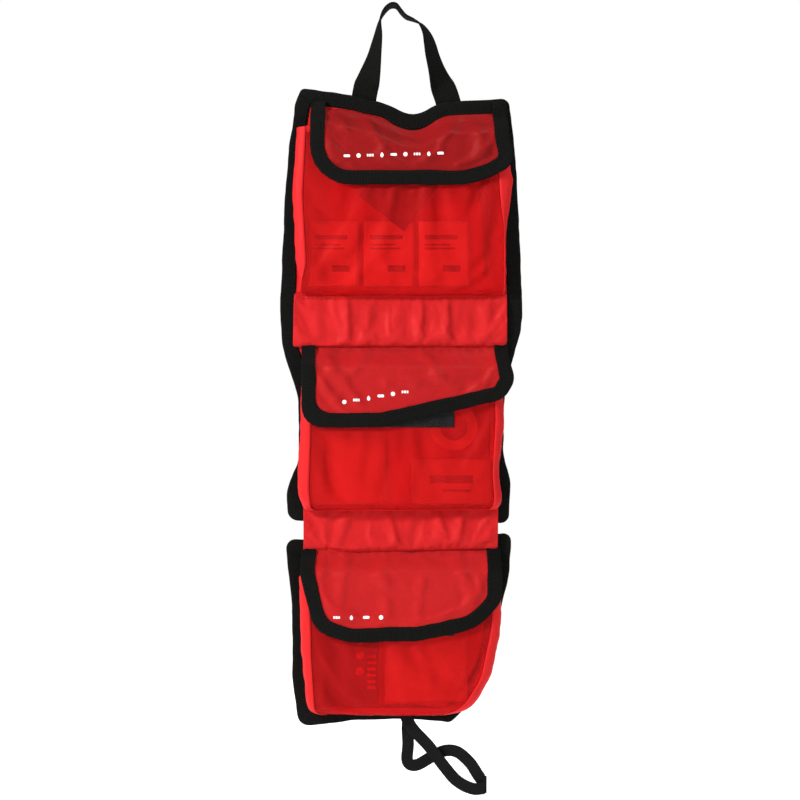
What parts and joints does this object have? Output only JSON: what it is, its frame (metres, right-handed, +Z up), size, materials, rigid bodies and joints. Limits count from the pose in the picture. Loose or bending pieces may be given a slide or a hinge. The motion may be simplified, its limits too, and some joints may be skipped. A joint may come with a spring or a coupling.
{
  "type": "hanging first aid kit",
  "caption": "Unfolded hanging first aid organiser: flapped, gusseted nylon pockets on bound pages that fold together, with a webbing carry handle and an elastic loop.",
  "frame": {"origin": "the point inside the top of the carry handle that the kit hangs from", "axes": "+Z up along the hanging kit, -Y out of its front, +X to the right seen from the front"},
  "size_m": [0.192, 0.0316, 0.6324],
  "materials": {
    "red_nylon": "thin coated nylon with a soft sheen",
    "cover_nylon": "matte coated pack cloth",
    "binding_tape": "ribbed grosgrain",
    "handle_webbing": "woven webbing",
    "elastic_tape": "knitted elastic",
    "hook_loop_tape": "hook and loop pile",
    "sachet_paper": "coated paper",
    "blister_plastic": "dark card",
    "tweezer_steel": "brushed",
    "gauze_cotton": "woven cotton in paper wraps",
    "card_print": "printed card"
  },
  "bodies": {
    "handle": {"carry_handle": "handle_webbing"},
    "top_page": {"top_cover": "cover_nylon", "top_lining": "red_nylon", "top_binding": "binding_tape", "top_pocket_front": "red_nylon", "top_pocket_gusset": "red_nylon", "top_loop_tape": "hook_loop_tape", "medicine_packets": "sachet_paper", "blister_card": "blister_plastic", "tweezers": "tweezer_steel"},
    "top_flap": {"top_flap": "red_nylon", "top_flap_binding": "binding_tape", "top_hook_tape": "hook_loop_tape"},
    "spine": {"spine_cover": "cover_nylon", "spine_lining": "red_nylon", "spine_binding": "binding_tape"},
    "middle_page": {"middle_cover": "cover_nylon", "middle_lining": "red_nylon", "middle_binding": "binding_tape", "middle_pocket_front": "red_nylon", "middle_pocket_gusset": "red_nylon", "middle_loop_tape": "hook_loop_tape", "gauze_pads": "gauze_cotton", "bandage_roll": "gauze_cotton", "tape_roll": "gauze_cotton"},
    "middle_flap": {"middle_flap": "red_nylon", "middle_flap_binding": "binding_tape", "middle_hook_tape": "hook_loop_tape"},
    "strip": {"joining_strip": "red_nylon"},
    "bottom_page": {"bottom_cover": "cover_nylon", "bottom_lining": "red_nylon", "bottom_binding": "binding_tape", "bottom_pocket_front": "red_nylon", "bottom_pocket_gusset": "red_nylon", "bottom_loop_tape": "hook_loop_tape", "glove_pouch": "sachet_paper", "info_card": "card_print"},
    "bottom_flap": {"bottom_flap": "red_nylon", "bottom_flap_binding": "binding_tape", "bottom_hook_tape": "hook_loop_tape"},
    "loop": {"elastic_loop": "elastic_tape"}
  },
  "joints": [
    {"name": "handle_swing", "type": "hinge", "parent": "handle", "child": "top_page", "pos_m": [0.005, 0.00245, -0.07], "axis": [-1, 0, 0], "range_deg": [0, 90]},
    {"name": "top_flap_lift", "type": "hinge", "parent": "top_page", "child": "top_flap", "pos_m": [0.005, -0.002, -0.075], "axis": [1, 0, 0], "range_deg": [-120, 0]},
    {"name": "spine_fold", "type": "hinge", "parent": "top_page", "child": "spine", "pos_m": [0.005, -0.0009, -0.231], "axis": [-1, 0, 0], "range_deg": [0, 90]},
    {"name": "middle_page_fold", "type": "hinge", "parent": "spine", "child": "middle_page", "pos_m": [0.005, -0.0009, -0.2695], "axis": [-1, 0, 0], "range_deg": [0, 90]},
    {"name": "middle_flap_lift", "type": "hinge", "parent": "middle_page", "child": "middle_flap", "pos_m": [0.005, -0.002, -0.271], "axis": [1, 0, 0], "range_deg": [-120, 0]},
    {"name": "strip_fold", "type": "hinge", "parent": "middle_page", "child": "strip", "pos_m": [0.005, 0.0024, -0.4122], "axis": [1, 0, 0], "range_deg": [0, 90]},
    {"name": "bottom_page_fold", "type": "hinge", "parent": "strip", "child": "bottom_page", "pos_m": [0.005, 0.0024, -0.4218], "axis": [1, 0, 0], "range_deg": [0, 90]},
    {"name": "bottom_flap_lift", "type": "hinge", "parent": "bottom_page", "child": "bottom_flap", "pos_m": [0.005, -0.002, -0.433], "axis": [1, 0, 0], "range_deg": [-120, 0]},
    {"name": "loop_swing", "type": "hinge", "parent": "bottom_page", "child": "loop", "pos_m": [0.0125, 0.0002, -0.5724], "axis": [1, 0, 0], "range_deg": [-90, 60]}
  ]
}
